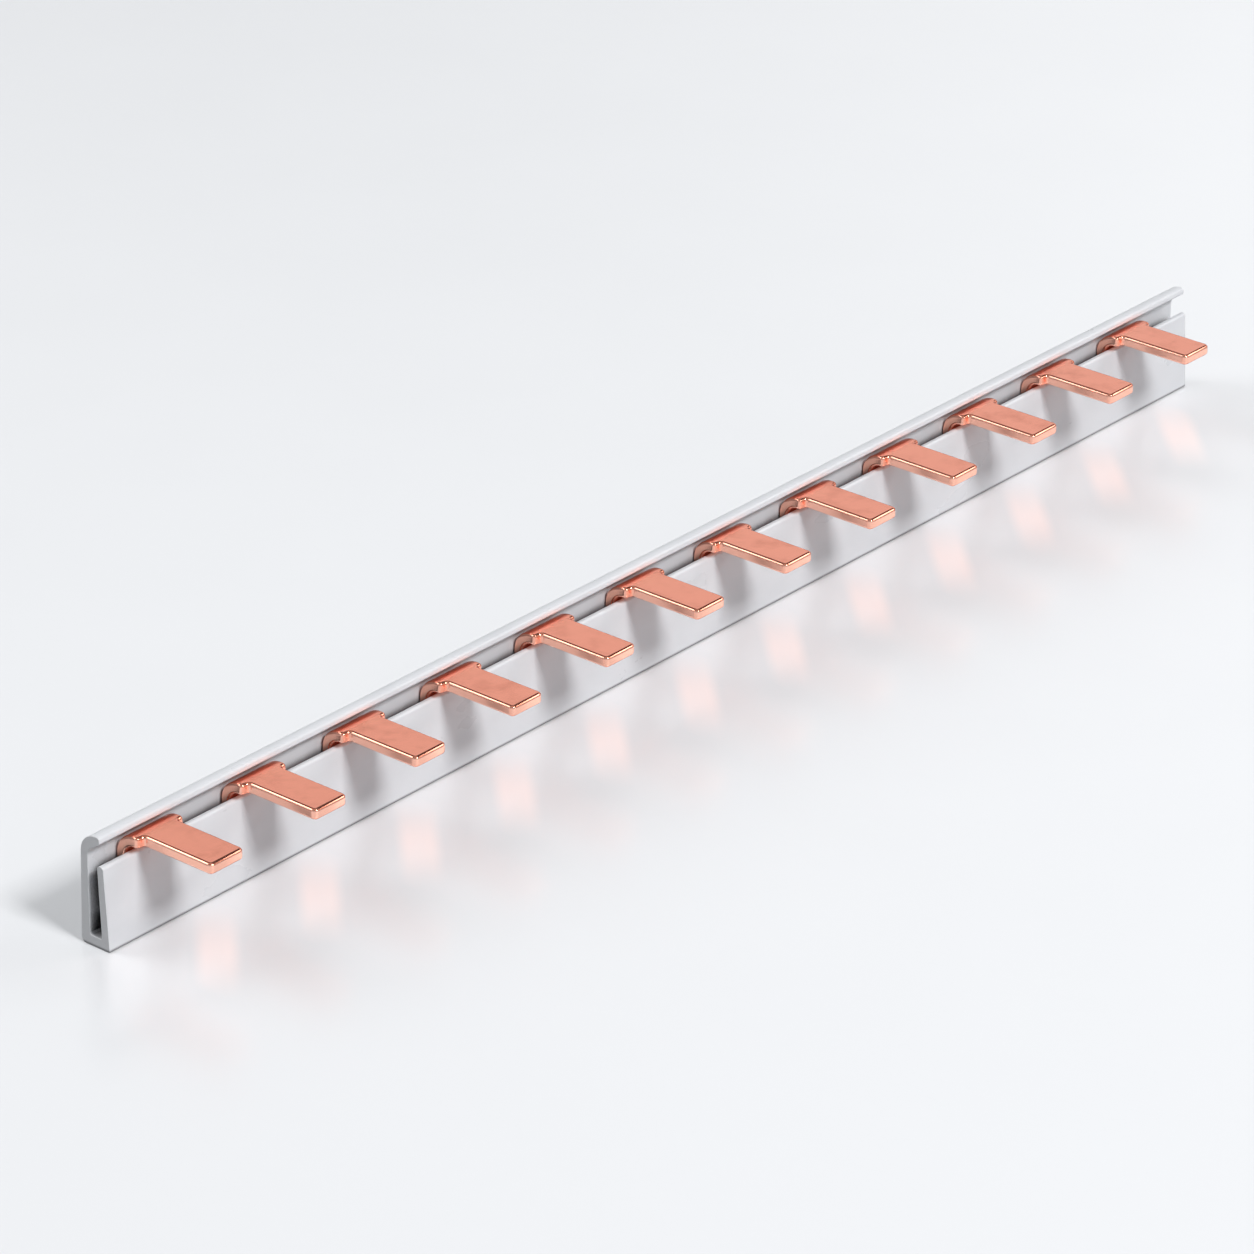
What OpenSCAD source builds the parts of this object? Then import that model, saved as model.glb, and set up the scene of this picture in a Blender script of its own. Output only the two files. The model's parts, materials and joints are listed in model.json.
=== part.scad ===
// Comb busbar for a row of modular circuit breakers.
// A stamped copper comb stands in the slot of an extruded insulating profile.
// The fingers bend square and leave the profile between its front wall and its hooked lip.
// The bar runs along X, its fingers point to -Y, and its foot stands on Z = 0.

/* [Row of fingers] */
// Number of fingers, one for each breaker module
finger_count = 12; // [2:1:18]
// Distance from one finger's centre to the next
pitch = 17.8; // [12:0.1:27]

/* [Finger] */
// Width of a finger
finger_w = 5.7; // [4:0.1:7]
// Length of a finger beyond its bend
finger_l = 11.8; // [8:0.1:18]
// Corner radius of the tip, seen from above
tip_r = 0.5; // [0.3:0.05:1.5]
// Rounding along the edges of the bend and the finger
edge_r = 0.35; // [0.1:0.05:0.45]
// Radius on the inside of the bend
bend_r = 1.5; // [1:0.1:2]
// How far the bend starts below the rounded top of the front wall
bend_drop = 0.15; // [0:0.05:0.2]
// How much wider than the finger the shoulder at the bend is, on each side
shoulder_w = 1.1; // [0.7:0.1:1.5]
// How far the shoulder runs on past the bend
shoulder_l = 0.75; // [0.7:0.05:1.5]
// Corner radius of the shoulder
shoulder_r = 0.5; // [0.2:0.05:0.6]
// Hollow radius between the shoulder and the finger
throat_r = 0.4; // [0.1:0.05:0.5]

/* [Strip] */
// Thickness of the copper sheet
sheet_t = 1.5; // [1:0.1:2]
// Height of the strip that joins the fingers
strip_h = 8.2; // [6:0.1:12]
// How far the strip runs on past the first finger's shoulder
strip_lead = 0.9; // [0.5:0.05:5]
// How far the strip runs on past the last finger's shoulder
strip_tail = 6.65; // [0.5:0.05:10]

/* [Profile] */
// How far the profile runs on past each end of the strip
end_cover = 3.7; // [2:0.1:8]
// Thickness of the floor
floor_t = 1.4; // [0.8:0.1:2]
// Thickness of the back wall at its foot
back_foot_t = 1.4; // [1.2:0.05:1.8]
// Thickness of the back wall where it meets the hook
back_neck_t = 1.08; // [0.8:0.02:1.3]
// Lean of the back wall towards the front, in degrees
back_lean = 2.5; // [0:0.1:3]
// Outer radius of the hook
hook_r = 2.6; // [1.5:0.05:2.6]
// Inner radius of the hook
hook_inner_r = 1.3; // [0.5:0.05:1.5]
// How far the lip reaches out over the slot's mouth
lip_over = 0.5; // [0.4:0.05:1.5]
// Thickness of the lip at its end
lip_t = 0.88; // [0.7:0.02:1.1]
// Slope of the lip's underside, in degrees
lip_slope = 34; // [20:1:38]
// Thickness of the front wall at its foot
front_foot_t = 1.2; // [0.8:0.05:1.5]
// Thickness of the front wall at its top
front_t = 0.95; // [0.7:0.05:1.2]
// How far the front wall rises above the strip
wall_cover = 1.7; // [1.2:0.1:3]
// How much wider the slot is at its floor than at its mouth, on the front side
slot_flare = 0.31; // [0:0.01:0.5]
// Radius of the corner between the foot and the back wall
heel_r = 0.8; // [0.3:0.05:1.2]

/* [Fit] */
// Gap between the copper and each side of the slot's mouth
grip_gap = 0.03; // [0.02:0.01:0.1]
// Gap between the top of a finger and the lip above it
lip_gap = 0.5; // [0.25:0.01:0.8]

/* [Hidden] */
$fn = 48;
// Small radii of the profile's other corners
toe_r = 0.15;
slot_r = 0.3;
// A rounded end keeps this share of its wall's thickness as its corner radius
end_round = 0.46;
// A rising stem reaches this far down into the strip
stem_overlap = 2;
// How far a piece that is cut away runs on past the form it is cut from
cut_spill = 0.1;

// Lengths along the bar
shoulder_half = finger_w / 2 + shoulder_w;
near_margin = end_cover + strip_lead + shoulder_half;
far_margin = end_cover + strip_tail + shoulder_half;
row_l = pitch * (finger_count - 1);
profile_l = near_margin + row_l + far_margin;
first_finger_x = near_margin - profile_l / 2;

// Heights, from the foot up
front_h = floor_t + strip_h + wall_cover;
wall_r = front_t * end_round;
bend_z = front_h - wall_r - bend_drop;
bend_outer_r = bend_r + sheet_t;
lip_z = bend_z + bend_outer_r + lip_gap;
profile_h = lip_z + lip_t;

// Depths, counted forward from the back edge of the foot
slot_mouth = sheet_t + 2 * grip_gap;
neck_z = lip_z - (slot_mouth + lip_over) * tan(lip_slope);
neck_d = neck_z * tan(back_lean) + back_neck_t;
slot_foot_d = floor_t * tan(back_lean) + back_foot_t;
mouth_d = neck_d + slot_mouth;
lip_d = mouth_d + lip_over;
foot_w = mouth_d + slot_flare + front_foot_t;

// Y of a place at depth d
function at_depth(d) = foot_w / 2 - d;
strip_back_y = at_depth(neck_d + grip_gap);
bend_y = strip_back_y - bend_outer_r;

function unit(v) = v / norm(v);

// What lies between a sharp corner and the arc of radius r that rounds it.
// A piece that is cut away runs on past both edges by spill, and one that is added doesn't.
module corner_piece(before, corner, after, r, spill = 0) {
    to_before = unit(before - corner);
    to_after = unit(after - corner);
    half_angle = acos(to_before * to_after) / 2;
    reach = r / tan(half_angle);
    to_corner = unit(to_before + to_after) * -r / sin(half_angle);
    grow = 1 + spill / r;
    translate(corner - to_corner) difference() {
        polygon([
            [0, 0],
            (to_corner + to_before * reach) * grow,
            to_corner * grow,
            (to_corner + to_after * reach) * grow,
        ]);
        circle(r);
    }
}

// A convex outline, each of its corners rounded to its own radius; 0 leaves a corner sharp
module rounded_outline(points, radii) {
    n = len(points);
    difference() {
        polygon(points);
        for (i = [0 : n - 1])
            if (radii[i] > 0)
                corner_piece(points[(i + n - 1) % n], points[i], points[(i + 1) % n], radii[i], cut_spill);
    }
}

// Lays a section drawn in Y and Z along the bar, from x to x + l
module along_bar(x, l) {
    translate([x, 0, 0]) rotate([90, 0, 90]) linear_extrude(l) children();
}

// Section of the profile: its whole outer form, less the slot and the mouth above the front wall
module profile_section() {
    toe = [at_depth(foot_w), 0];
    lip_top = [at_depth(lip_d), profile_h];
    lip_foot = [at_depth(lip_d), lip_z];
    neck = [at_depth(neck_d), neck_z];
    slot_front = [at_depth(mouth_d + slot_flare), floor_t];
    wall_inner = [at_depth(mouth_d), front_h];
    wall_outer = [at_depth(mouth_d + front_t), front_h];
    lip_r = lip_t * end_round;
    difference() {
        rounded_outline(
            [
                toe, [at_depth(0), 0], [at_depth(profile_h * tan(back_lean)), profile_h],
                lip_top, [lip_top.x, front_h], wall_outer,
            ],
            [toe_r, heel_r, hook_r, lip_r, 0, 0]
        );
        rounded_outline(
            [
                [at_depth(slot_foot_d), floor_t], neck, lip_foot,
                lip_foot - [foot_w, 0], wall_inner - [foot_w, 0], wall_inner, slot_front,
            ],
            [slot_r, hook_inner_r, 0, 0, 0, 0, slot_r]
        );
        corner_piece(lip_top, lip_foot, neck, lip_r, cut_spill);
        corner_piece(slot_front, wall_inner, wall_outer, wall_r, cut_spill);
        corner_piece(wall_inner, wall_outer, toe, wall_r, cut_spill);
    }
}

module insulating_profile() {
    color("lightgray") along_bar(-profile_l / 2, profile_l) profile_section();
}

// Cross-section of a bent piece of width w, its thickness measured out from the bend's axis
module sheet_section(w) {
    translate([bend_r, -w / 2]) rounded_outline(
        [[0, 0], [sheet_t, 0], [sheet_t, w], [0, w]],
        [edge_r, edge_r, edge_r, edge_r]
    );
}

// A flat shape drawn as length and width, given the sheet's thickness outside the bend
module blank() {
    translate([bend_r, 0, 0]) rotate([90, 0, 90]) linear_extrude(sheet_t) children();
}

// A straight piece that leaves the bend's end along Y, of width w and length l
module straight(w, l) {
    rotate([-90, 0, 0]) linear_extrude(l) sheet_section(w);
}

// The finger past its bend: a wide shoulder, hollow throats and a narrower blade
module blade() {
    half = finger_w / 2;
    intersection() {
        straight(2 * shoulder_half, shoulder_l);
        blank() rounded_outline(
            [
                [-1, -shoulder_half], [shoulder_l, -shoulder_half],
                [shoulder_l, shoulder_half], [-1, shoulder_half],
            ],
            [0, shoulder_r, shoulder_r, 0]
        );
    }
    intersection() {
        straight(finger_w, finger_l);
        blank() rounded_outline(
            [[-1, -half], [finger_l, -half], [finger_l, half], [-1, half]],
            [0, tip_r, tip_r, 0]
        );
        translate([0, 0, -finger_w]) linear_extrude(2 * finger_w) rounded_outline(
            [
                [bend_r, -1], [bend_r + sheet_t, -1],
                [bend_r + sheet_t, finger_l], [bend_r, finger_l],
            ],
            [0, edge_r, edge_r, 0]
        );
    }
    for (side = [-1, 1])
        blank() corner_piece(
            [finger_l, side * half], [shoulder_l, side * half], [shoulder_l, side * shoulder_half],
            throat_r
        );
}

// One finger, drawn round the axis of its bend
module finger() {
    stem_l = bend_z - floor_t - strip_h + stem_overlap;
    rotate([180, 0, 0]) straight(2 * shoulder_half, stem_l);
    rotate_extrude(angle = 90) sheet_section(2 * shoulder_half);
    rotate([0, 0, 90]) blade();
}

module copper_comb() {
    strip_x = first_finger_x - shoulder_half - strip_lead;
    strip_l = strip_lead + row_l + 2 * shoulder_half + strip_tail;
    color("salmon") {
        along_bar(strip_x, strip_l) translate([strip_back_y - sheet_t, floor_t]) rounded_outline(
            [[0, 0], [sheet_t, 0], [sheet_t, strip_h], [0, strip_h]],
            [edge_r, edge_r, edge_r, edge_r]
        );
        for (i = [0 : finger_count - 1])
            translate([first_finger_x + i * pitch, bend_y, bend_z]) rotate([90, 0, 90]) finger();
    }
}

insulating_profile();
copper_comb();
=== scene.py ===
import json
import math

import bmesh
import bpy
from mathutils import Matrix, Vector


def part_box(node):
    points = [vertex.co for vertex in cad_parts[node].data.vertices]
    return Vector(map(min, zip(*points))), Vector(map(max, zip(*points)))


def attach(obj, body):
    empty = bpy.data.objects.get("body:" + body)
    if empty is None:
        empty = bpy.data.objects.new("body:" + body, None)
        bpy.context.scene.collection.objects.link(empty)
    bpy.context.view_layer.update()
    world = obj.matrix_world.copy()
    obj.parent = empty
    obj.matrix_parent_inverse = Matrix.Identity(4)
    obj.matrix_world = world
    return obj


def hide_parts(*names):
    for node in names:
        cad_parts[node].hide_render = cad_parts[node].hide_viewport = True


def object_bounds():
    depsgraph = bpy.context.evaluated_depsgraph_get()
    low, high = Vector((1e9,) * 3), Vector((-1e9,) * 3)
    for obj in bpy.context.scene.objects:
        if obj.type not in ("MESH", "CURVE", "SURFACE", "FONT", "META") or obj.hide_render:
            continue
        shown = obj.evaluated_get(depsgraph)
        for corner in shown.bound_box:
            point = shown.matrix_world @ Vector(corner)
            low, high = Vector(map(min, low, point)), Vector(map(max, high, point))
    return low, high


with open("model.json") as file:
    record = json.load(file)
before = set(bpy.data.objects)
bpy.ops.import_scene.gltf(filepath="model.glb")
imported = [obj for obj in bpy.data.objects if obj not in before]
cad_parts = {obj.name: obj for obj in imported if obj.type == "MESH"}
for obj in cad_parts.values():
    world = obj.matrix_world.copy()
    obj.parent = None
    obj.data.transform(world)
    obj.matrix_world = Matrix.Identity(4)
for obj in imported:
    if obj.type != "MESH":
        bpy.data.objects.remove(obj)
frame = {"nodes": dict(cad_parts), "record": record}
cad_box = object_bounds()

# Insulating profile: one length of extruded, satin-grey hard PVC with a slot and a hooked lip.
# The die leaves faint lines along it, and the saw leaves its two ends rougher. The ends' colour
# is painted darker, partly as the sawn finish and partly as painted shade, and every edge has a
# paler rim, partly burnish and partly painted highlight. The copper comb is pushed into its slot,
# which holds it by grip alone.
PVC_GREY = (0.62, 0.63, 0.655, 1)
PVC_HANDLED = (0.585, 0.595, 0.62, 1)
# Partly painted highlight: the paler rim on every edge, partly burnish
PVC_RIM_AND_HIGHLIGHT = (0.80, 0.81, 0.83, 1)
# Partly painted shade: the darker colour of the sawn ends
SAWN_AND_SHADED_GREY = (0.51, 0.515, 0.53, 1)
# Painted shade: the near black of the slot's depths
PAINTED_SLOT_SHADE = (0.015, 0.015, 0.018, 1)
# Painted shade: the dark grey of a contact shadow along the foot
CONTACT_SHADE_GREY = (0.12, 0.12, 0.125, 1)
# Grains, per metre along X, Y and Z
DIE_LINES = (30, 2600, 2600)
HAND_MARKS = (90, 160, 160)
SAW_MARKS = (400, 5200, 900)
SAW_DEPTH = 3
# Where each mark starts and where it is full
SAWN_FACING = (0.9, 0.97)
HANDLED_PATCHES = (0.45, 0.75)
BURNISH_AND_HIGHLIGHT_RIM = (0.02, 0.2)
SLOT_SHELTER = (0.52, 0.63)
SLOT_LIT = (0.0095, 0.0113)
SLOT_REACH = 0.003
CONTACT_SHADE_HEIGHT = 0.00045
CONTACT_SHADE_COVER = 0.8
DRAWN_ROUGHNESS = 0.24
HANDLED_ROUGHNESS = 0.1
SAWN_ROUGHNESS = 0.3
PVC_EDGE = 0.00018
PVC_RELIEF = 0.2
RELIEF_DEPTH = 0.00002


class Wire:
    """One socket of a finish's node tree. Sums and products of wires add its Math nodes."""

    def __init__(self, tree, socket=None):
        self.tree = tree
        self.socket = socket

    def node(self, kind, settings, sockets, output=0):
        """Adds a node, sets it up, fills its sockets and gives a wire from its output."""
        made = self.tree.nodes.new("ShaderNode" + kind)
        for name, value in settings.items():
            setattr(made, name, value)
        for name, value in sockets.items():
            if isinstance(value, Wire):
                self.tree.links.new(value.socket, made.inputs[name])
            else:
                made.inputs[name].default_value = value
        if made.outputs:
            return Wire(self.tree, made.outputs[output])

    def maths(self, operation, first, second):
        return self.node("Math", {"operation": operation}, {0: first, 1: second})

    def __add__(self, other):
        return self.maths("ADD", self, other)

    __radd__ = __add__

    def __sub__(self, other):
        return self.maths("SUBTRACT", self, other)

    def __rsub__(self, other):
        return self.maths("SUBTRACT", other, self)

    def __mul__(self, other):
        return self.maths("MULTIPLY", self, other)

    __rmul__ = __mul__

    def __abs__(self):
        return self.maths("ABSOLUTE", self, 0)

    def over(self, low, high):
        """0 where the value is below low, 1 above high, and a smooth rise between."""
        return self.node(
            "MapRange",
            {"interpolation_type": "SMOOTHSTEP"},
            {"Value": self, "From Min": low, "From Max": high},
        )

    def blend(self, start, end):
        """From the start colour to the end colour as this value goes from 0 to 1."""
        return self.node("Mix", {"data_type": "RGBA"}, {0: self, 6: start, 7: end}, output=2)

    def part(self, axis):
        """One component of a vector: 0 is X, 1 is Y and 2 is Z."""
        return self.node("SeparateXYZ", {}, {0: self}, output=axis)

    def grain(self, scale, detail=3.0):
        """Cloudy noise between 0 and 1, with a scale per metre along each axis."""
        stretched = self.node("VectorMath", {"operation": "MULTIPLY"}, {0: self, 1: scale})
        return self.node("TexNoise", {}, {"Vector": stretched, "Scale": 1.0, "Detail": detail})

    def cover(self):
        """Puts this shader on the outside of its material."""
        self.node("OutputMaterial", {}, {"Surface": self})


class Finish:
    """A node material and the wires that its recipe starts from."""

    def __init__(self, name):
        self.material = bpy.data.materials.new(name)
        self.material.use_nodes = True
        self.material.node_tree.nodes.clear()
        self.start = Wire(self.material.node_tree)
        self.place = self.start.node("TexCoord", {}, {}, output="Object")

    def ease(self, edge_width):
        """Adds the way each face looks, as it is and as it is with slightly eased corners."""
        self.facing = self.start.node("NewGeometry", {}, {}, output="Normal")
        self.eased = self.start.node("Bevel", {"samples": 6}, {"Radius": edge_width})

    def edge(self, low, high):
        """1 on the corners of the piece and 0 on its faces."""
        straight = self.start.node(
            "VectorMath",
            {"operation": "DOT_PRODUCT"},
            {0: self.facing, 1: self.eased},
            output="Value",
        )
        return (1 - straight).over(low, high)

    def relief(self, height, strength):
        """A normal from a height pattern, over corners that are slightly eased."""
        return self.start.node(
            "Bump",
            {},
            {
                "Strength": strength,
                "Distance": RELIEF_DEPTH,
                "Height": height,
                "Normal": self.eased,
            },
        )

    def dress(self, node):
        """Gives a CAD node this finish and leaves its mesh as it is."""
        mesh = frame["nodes"][node].data
        mesh.materials.clear()
        mesh.materials.append(self.material)


pvc = Finish("satin_grey_pvc")
pvc.ease(PVC_EDGE)
# The faces that point along X are the sawn ends. Their colour is painted darker, partly as the
# sawn finish and partly as painted shade.
sawn = abs(pvc.facing.part(0)).over(*SAWN_FACING)
handling = pvc.place.grain(HAND_MARKS, detail=5.0)
# Painted shade: deep in the slot, below the tops of its walls, the colour is painted near black
# where ambient occlusion finds the surface enclosed.
shelter = pvc.start.node(
    "AmbientOcclusion", {"samples": 8}, {"Distance": SLOT_REACH}, output="AO"
)
painted_slot_shade = (1 - shelter).over(*SLOT_SHELTER) * (1 - pvc.place.part(2).over(*SLOT_LIT))
drawn_face = handling.over(*HANDLED_PATCHES).blend(PVC_GREY, PVC_HANDLED)
# Every edge is painted paler, partly as burnish and partly as a painted highlight.
rimmed = pvc.edge(*BURNISH_AND_HIGHLIGHT_RIM).blend(sawn.blend(drawn_face, SAWN_AND_SHADED_GREY), PVC_RIM_AND_HIGHLIGHT)
# Painted shade: the lowest half millimetre of the profile is painted dark grey as a contact
# shadow along the table.
painted_contact_shade = (1 - pvc.place.part(2).over(CONTACT_SHADE_HEIGHT / 4, CONTACT_SHADE_HEIGHT)) * CONTACT_SHADE_COVER
pvc.start.node(
    "BsdfPrincipled",
    {},
    {
        "Base Color": painted_slot_shade.blend(painted_contact_shade.blend(rimmed, CONTACT_SHADE_GREY), PAINTED_SLOT_SHADE),
        "Roughness": DRAWN_ROUGHNESS + handling * HANDLED_ROUGHNESS + sawn * SAWN_ROUGHNESS,
        "Specular IOR Level": 0.6,
        "Normal": pvc.relief(
            pvc.place.grain(DIE_LINES) * (1 - sawn)
            + pvc.place.grain(SAW_MARKS) * sawn * SAW_DEPTH,
            PVC_RELIEF,
        ),
    },
).cover()
pvc.dress("insulating_profile")

# Copper comb: cold-rolled copper sheet, stamped to a strip with twelve fingers, each bent square.
# The rolled faces are bright with faint cloudy stains and a few small pits, the sheared faces are
# paler, and tumbling has rounded and polished the edges. It stands in the profile's slot.
COPPER = (0.98, 0.365, 0.245, 1)
COPPER_STAIN = (0.86, 0.30, 0.195, 1)
SHEARED_COPPER = (1.0, 0.53, 0.40, 1)
PIT_BROWN = (0.22, 0.06, 0.035, 1)
ROLLED_GRAIN = (500, 6500, 6500)
SHEAR_LINES = (5200, 5200, 700)
STAIN_CLOUDS = (330, 330, 330)
SPECKS = (2200, 2200, 2200)
STAINED_PATCHES = (0.45, 0.8)
SIDE_FACING = (0.5, 0.9)
FLAT_FACING = (0.1, 0.6)
TIP_FACE = 0.0003
TIP_FADE = 0.0009
PIT_SPACING = 0.009
PIT_SIZE = (0.012, 0.03)
PIT_DEPTH = 3
SHEAR_DEPTH = 1.5
ROLLED_ROUGHNESS = 0.1
STAIN_ROUGHNESS = 0.08
SPECK_ROUGHNESS = 0.04
COPPER_EDGE = 0.0001
COPPER_RELIEF = 0.25
# Sizes of the stamping, in metres
FINGER_COUNT = 12
SHEET = 0.0015
BEND_INSIDE = 0.0015
STRIP_HEIGHT = 0.0082
BLADE_HALF = 0.00285
SHOULDER_HALF = 0.00395
SHOULDER_LENGTH = 0.00075
SHOULDER_ROUND = 0.0005
THROAT_ROUND = 0.0004
THROAT_SLOPE = 0.00004
TIP_ROUND = 0.0007
TUMBLED_ROUND = 0.00042
TUMBLED_STEPS = 4
SHARP_EDGE = math.radians(40)
FLAT_WITHIN = math.radians(0.5)
BEND_STEPS = 14
CORNER_STEPS = 6

comb_low, comb_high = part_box("copper_comb")
mounts = {mount["name"]: mount["pos_m"] for mount in frame["record"]["mounts"]}
first_x, tip_y = mounts["first_finger"][0], mounts["first_finger"][1]
row_length = mounts["last_finger"][0] - first_x
pitch = row_length / (FINGER_COUNT - 1)
bend_outside = BEND_INSIDE + SHEET
bend_y = comb_high[1] - bend_outside
bend_z = comb_high[2] - bend_outside
strip_top = comb_low[2] + STRIP_HEIGHT
finger_length = bend_y - comb_low[1]


def quarter(steps):
    """Sine and cosine of even steps through a quarter turn, both ends included."""
    for step in range(steps + 1):
        angle = math.pi / 2 * step / steps
        yield math.sin(angle), math.cos(angle)


def blade_outline():
    """Length past the bend and half width, from the shoulder to the tip."""
    for sine, cosine in quarter(CORNER_STEPS):
        yield (
            SHOULDER_LENGTH - SHOULDER_ROUND * (1 - sine),
            SHOULDER_HALF - SHOULDER_ROUND * (1 - cosine),
        )
    throat_start = SHOULDER_LENGTH + THROAT_SLOPE
    for sine, cosine in quarter(CORNER_STEPS):
        yield (
            throat_start + THROAT_ROUND * (1 - cosine),
            BLADE_HALF + THROAT_ROUND * (1 - sine),
        )
    for sine, cosine in quarter(CORNER_STEPS):
        yield finger_length - TIP_ROUND * (1 - sine), BLADE_HALF - TIP_ROUND * (1 - cosine)


def finger_sections():
    """Half width, then the inner and outer point in Y and Z, of each section of a finger."""
    for sine, cosine in quarter(BEND_STEPS):
        yield SHOULDER_HALF, [
            (bend_y + radius * cosine, bend_z + radius * sine)
            for radius in (BEND_INSIDE, bend_outside)
        ]
    for length, half_width in blade_outline():
        yield half_width, [
            (bend_y - length, bend_z + radius) for radius in (BEND_INSIDE, bend_outside)
        ]


def comb_mesh():
    """The strip as a run of sections along X, with a finger drawn up from every other one."""
    mesh = bmesh.new()
    front, back = comb_high[1] - SHEET, comb_high[1]

    def strip_section(x):
        corners = (front, comb_low[2]), (front, strip_top), (back, strip_top), (back, comb_low[2])
        return [mesh.verts.new((x, y, z)) for y, z in corners]

    def join(first, second, sides):
        for side in sides:
            after = (side + 1) % 4
            mesh.faces.new((first[side], first[after], second[after], second[side]))

    section = strip_section(comb_low[0])
    mesh.faces.new(section)
    for finger in range(FINGER_COUNT):
        x = first_x + finger * pitch
        left, right = strip_section(x - SHOULDER_HALF), strip_section(x + SHOULDER_HALF)
        join(section, left, (0, 1, 2, 3))
        join(left, right, (0, 2, 3))
        loop = [left[1], left[2], right[2], right[1]]
        for half_width, (inner, outer) in finger_sections():
            rise = [
                mesh.verts.new((x + side * half_width, y, z))
                for side, (y, z) in ((-1, inner), (-1, outer), (1, outer), (1, inner))
            ]
            join(loop, rise, (0, 1, 2, 3))
            loop = rise
        mesh.faces.new(loop)
        section = right
    end = strip_section(comb_high[0])
    join(section, end, (0, 1, 2, 3))
    mesh.faces.new(end)
    bmesh.ops.recalc_face_normals(mesh, faces=mesh.faces)
    bmesh.ops.dissolve_limit(
        mesh, angle_limit=FLAT_WITHIN, verts=mesh.verts, edges=mesh.edges
    )
    for face in mesh.faces:
        face.smooth = True
    made = bpy.data.meshes.new("tumbled_copper_comb")
    mesh.to_mesh(made)
    mesh.free()
    return made


copper = Finish("rolled_copper")
copper.ease(COPPER_EDGE)
at_tip = 1 - copper.place.part(1).over(tip_y + TIP_FACE, tip_y + TIP_FADE)
side_faces = abs(copper.facing.part(0)).over(*SIDE_FACING)
sheared = side_faces + at_tip * (1 - abs(copper.facing.part(2)).over(*FLAT_FACING))
stain = copper.place.grain(STAIN_CLOUDS, detail=6.0)
speck = copper.place.grain(SPECKS, detail=2.0)
in_plan = copper.start.node(
    "VectorMath", {"operation": "MULTIPLY"}, {0: copper.place, 1: (1, 1, 0)}
)
pit_distance = copper.start.node(
    "TexVoronoi",
    {},
    {"Vector": in_plan, "Scale": 1 / PIT_SPACING, "Randomness": 1.0},
    output="Distance",
)
pit = 1 - pit_distance.over(*PIT_SIZE)
rolled_face = stain.over(*STAINED_PATCHES).blend(COPPER, COPPER_STAIN)
copper.start.node(
    "BsdfPrincipled",
    {},
    {
        "Base Color": pit.blend(sheared.blend(rolled_face, SHEARED_COPPER), PIT_BROWN),
        "Metallic": 1.0,
        "Roughness": ROLLED_ROUGHNESS + stain * STAIN_ROUGHNESS + speck * SPECK_ROUGHNESS,
        "Normal": copper.relief(
            copper.place.grain(ROLLED_GRAIN) * (1 - side_faces)
            + copper.place.grain(SHEAR_LINES) * side_faces * SHEAR_DEPTH
            - pit * PIT_DEPTH,
            COPPER_RELIEF,
        ),
    },
).cover()

comb = bpy.data.objects.new("tumbled_copper_comb", comb_mesh())
bpy.context.scene.collection.objects.link(comb)
comb.data.materials.append(copper.material)
rounding = comb.modifiers.new("tumbled_edges", "BEVEL")
rounding.width = TUMBLED_ROUND
rounding.segments = TUMBLED_STEPS
rounding.limit_method = "ANGLE"
rounding.angle_limit = SHARP_EDGE
rounding.use_clamp_overlap = False
rounding.loop_slide = False
rounding.harden_normals = True
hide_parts("copper_comb")
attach(comb, "root")

# Studio table: a pale, polished and slightly rippled sheet that the bar lies on, wide enough to
# fill every view. It keeps the bar's soft shadow and mirrors it dimly. A warm glow beneath each
# finger is painted on it as emission.
TABLE_PALE = (0.74, 0.75, 0.77, 1)
# Painted light: the lighter tone of the table's far part
TABLE_FAR_PAINTED_LIGHT = (0.88, 0.89, 0.91, 1)
TABLE_BOUNCE = (0.36, 0.37, 0.385, 1)
# Painted light: a warm glow emitted by the table itself beneath each finger
PAINTED_COPPER_GLOW = (0.17, 0.06, 0.03, 1)
NO_PAINTED_GLOW = (0, 0, 0, 1)
TABLE_HALF = 12.0
TABLE_GAP = 0.00002
TABLE_CLOUDS = (40, 40, 40)
TABLE_RIPPLES = (160, 160, 160)
RIPPLE_STRENGTH = 0.35
RIPPLE_DEPTH = 0.00004
TABLE_ROUGHNESS = 0.2
CLOUD_ROUGHNESS = 0.08
FAR_TURN = 0.5
FAR_REACH = (0.0, 0.28)
PAINTED_GLOW_SETBACK = 0.0023
PAINTED_GLOW_LENGTH = 0.013
PAINTED_GLOW_WIDTH = 0.0034
DIAGONAL = math.sqrt(0.5)

tabletop = Finish("polished_table")
cloud = tabletop.place.grain(TABLE_CLOUDS, detail=2.0)
# Painted light: the table is painted lighter towards +X and -Y over 0.28 m, as a gradient of
# light.
painted_far_light = (tabletop.place.part(0) - tabletop.place.part(1) * FAR_TURN).over(*FAR_REACH)
rays = {
    ray: tabletop.start.node("LightPath", {}, {}, output=f"Is {ray} Ray")
    for ray in ("Camera", "Glossy", "Transmission")
}
seen = tabletop.start.maths("MAXIMUM", rays["Camera"], rays["Glossy"] + rays["Transmission"])
ripple = tabletop.place.grain(TABLE_RIPPLES, detail=2.0)
beside = tabletop.place.part(0) - first_x
across = tabletop.start.node(
    "Math", {"operation": "WRAP"}, {0: beside, 1: pitch / 2, 2: -pitch / 2}
)
ahead = tabletop.place.part(1) - (tip_y + PAINTED_GLOW_SETBACK)
in_row = beside.over(-pitch / 2, -pitch / 3) * (
    1 - beside.over(row_length + pitch / 3, row_length + pitch / 2)
)
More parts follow.
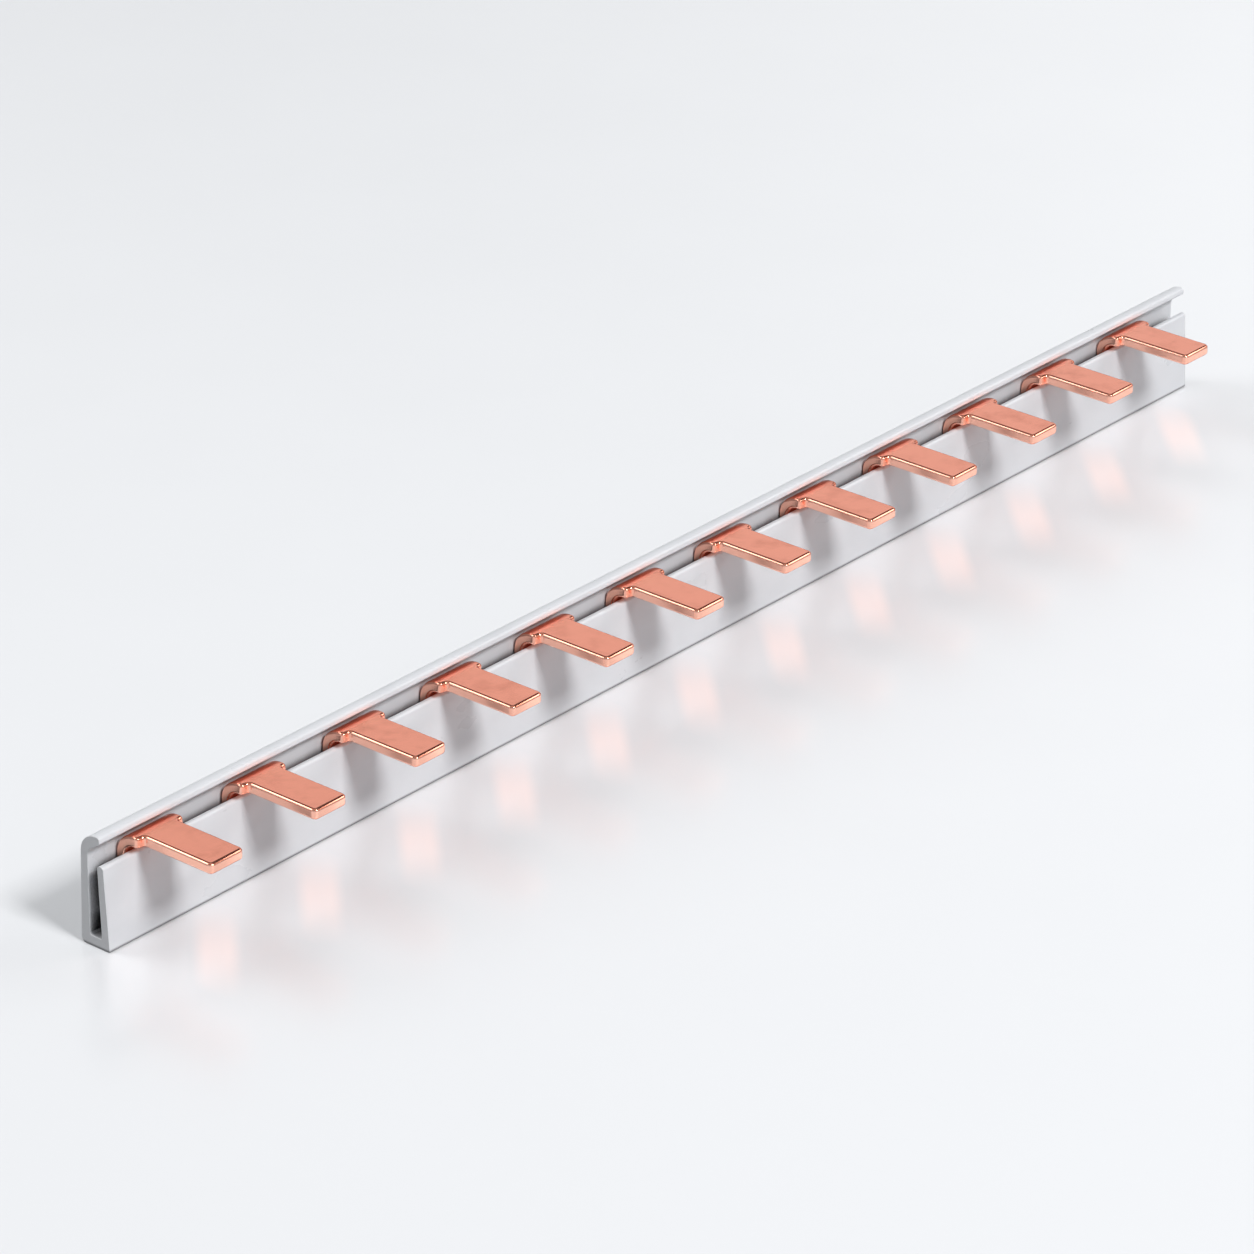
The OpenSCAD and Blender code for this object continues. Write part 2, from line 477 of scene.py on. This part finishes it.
# Painted light: a warm patch of emission on the table beneath each fingertip.
painted_glow = (
    (1 - abs((across + ahead) * DIAGONAL).over(0, PAINTED_GLOW_LENGTH))
    * (1 - abs((across - ahead) * DIAGONAL).over(PAINTED_GLOW_WIDTH / 3, PAINTED_GLOW_WIDTH))
    * in_row
)
tabletop.start.node(
    "BsdfPrincipled",
    {},
    {
        "Base Color": seen.blend(TABLE_BOUNCE, painted_far_light.blend(TABLE_PALE, TABLE_FAR_PAINTED_LIGHT)),
        "Roughness": TABLE_ROUGHNESS + cloud * CLOUD_ROUGHNESS,
        "IOR": 2.1,
        "Emission Color": painted_glow.blend(NO_PAINTED_GLOW, PAINTED_COPPER_GLOW),
        "Emission Strength": 1.0,
        "Normal": tabletop.start.node(
            "Bump",
            {},
            {"Strength": RIPPLE_STRENGTH, "Distance": RIPPLE_DEPTH, "Height": ripple},
        ),
    },
).cover()

table_mesh = bpy.data.meshes.new("studio_table")
table_mesh.from_pydata(
    [(x * TABLE_HALF, y * TABLE_HALF, 0) for x, y in ((-1, -1), (1, -1), (1, 1), (-1, 1))],
    [],
    [(0, 1, 2, 3)],
)
table_mesh.materials.append(tabletop.material)
table = bpy.data.objects.new("studio_table", table_mesh)
bpy.context.scene.collection.objects.link(table)
table.location.z = cad_box[0].z - TABLE_GAP

# Studio room: a bright band above the table, a dark ring over it and a pale ceiling, so that the
# copper's rounded edges show a dark line. The key softbox stands high in front. Weaker ones light
# the long edges and the back from behind, and the fingertips from the right.
ROOM_PALE = (0.97, 0.985, 1, 1)
BAND_FOOT = (0.2, 0.34)
BAND_TOP = (0.5, 0.58)
CEILING_EDGE = (0.8, 0.92)
ROOM_GLOW = 0.1
LOW_GLOW = 0.25
BAND_GLOW = 0.78
CEILING_GLOW = 0.4
SOFTBOX_DISTANCE = 1.3

room = bpy.data.worlds.new("studio_room")
bpy.context.scene.world = room
room.use_nodes = True
room.node_tree.nodes.clear()
sky = Wire(room.node_tree)
height = sky.node("TexCoord", {}, {}, output="Generated").part(2)
band = height.over(*BAND_FOOT) * (1 - height.over(*BAND_TOP))
ceiling = height.over(*CEILING_EDGE)
low_light = 1 - height.over(*BAND_FOOT)
glow = ROOM_GLOW + low_light * LOW_GLOW + band * BAND_GLOW + ceiling * CEILING_GLOW
sky.node(
    "OutputWorld",
    {},
    {"Surface": sky.node("Background", {}, {"Color": ROOM_PALE, "Strength": glow})},
)


def softbox(name, direction, width, depth, watts):
    """A rectangular lamp that faces the middle of the bar."""
    lamp = bpy.data.lights.new(name, "AREA")
    lamp.shape = "RECTANGLE"
    lamp.size, lamp.size_y, lamp.energy = width, depth, watts
    holder = bpy.data.objects.new(name, lamp)
    bpy.context.scene.collection.objects.link(holder)
    towards = Vector(direction).normalized()
    holder.location = towards * SOFTBOX_DISTANCE
    holder.rotation_mode = "QUATERNION"
    holder.rotation_quaternion = towards.to_track_quat("Z", "Y")


softbox("key_softbox", (-0.12, -0.71, 0.69), width=0.3, depth=0.3, watts=13.4)
softbox("edge_softbox", (-0.4, 0.58, 0.70), width=0.6, depth=0.4, watts=3.4)
softbox("tip_softbox", (0.7, -0.44, 0.56), width=0.5, depth=0.35, watts=2.6)
softbox("back_softbox", (-0.25, 0.85, 0.45), width=0.7, depth=0.5, watts=3.6)

# Camera: a long lens, turned to the bar's near end and looking down along it.
AZIMUTH = math.radians(-49.51)
ELEVATION = math.radians(26.23)
DISTANCE = 0.75764
AIM = Vector((-0.009265, 0.002347, 0.00419))
SENSOR_MM = 36
LENS_MM = 166.51

lens = bpy.data.cameras.new("long_lens")
lens.sensor_width = SENSOR_MM
lens.lens = LENS_MM
camera = bpy.data.objects.new("long_lens", lens)
bpy.context.scene.collection.objects.link(camera)
backward = Vector((
    math.sin(AZIMUTH) * math.cos(ELEVATION),
    -math.cos(AZIMUTH) * math.cos(ELEVATION),
    math.sin(ELEVATION),
))
camera.location = AIM + backward * DISTANCE
camera.rotation_mode = "QUATERNION"
camera.rotation_quaternion = (-backward).to_track_quat("-Z", "Y")
bpy.context.scene.camera = camera
bpy.context.scene.view_settings.view_transform = "Standard"
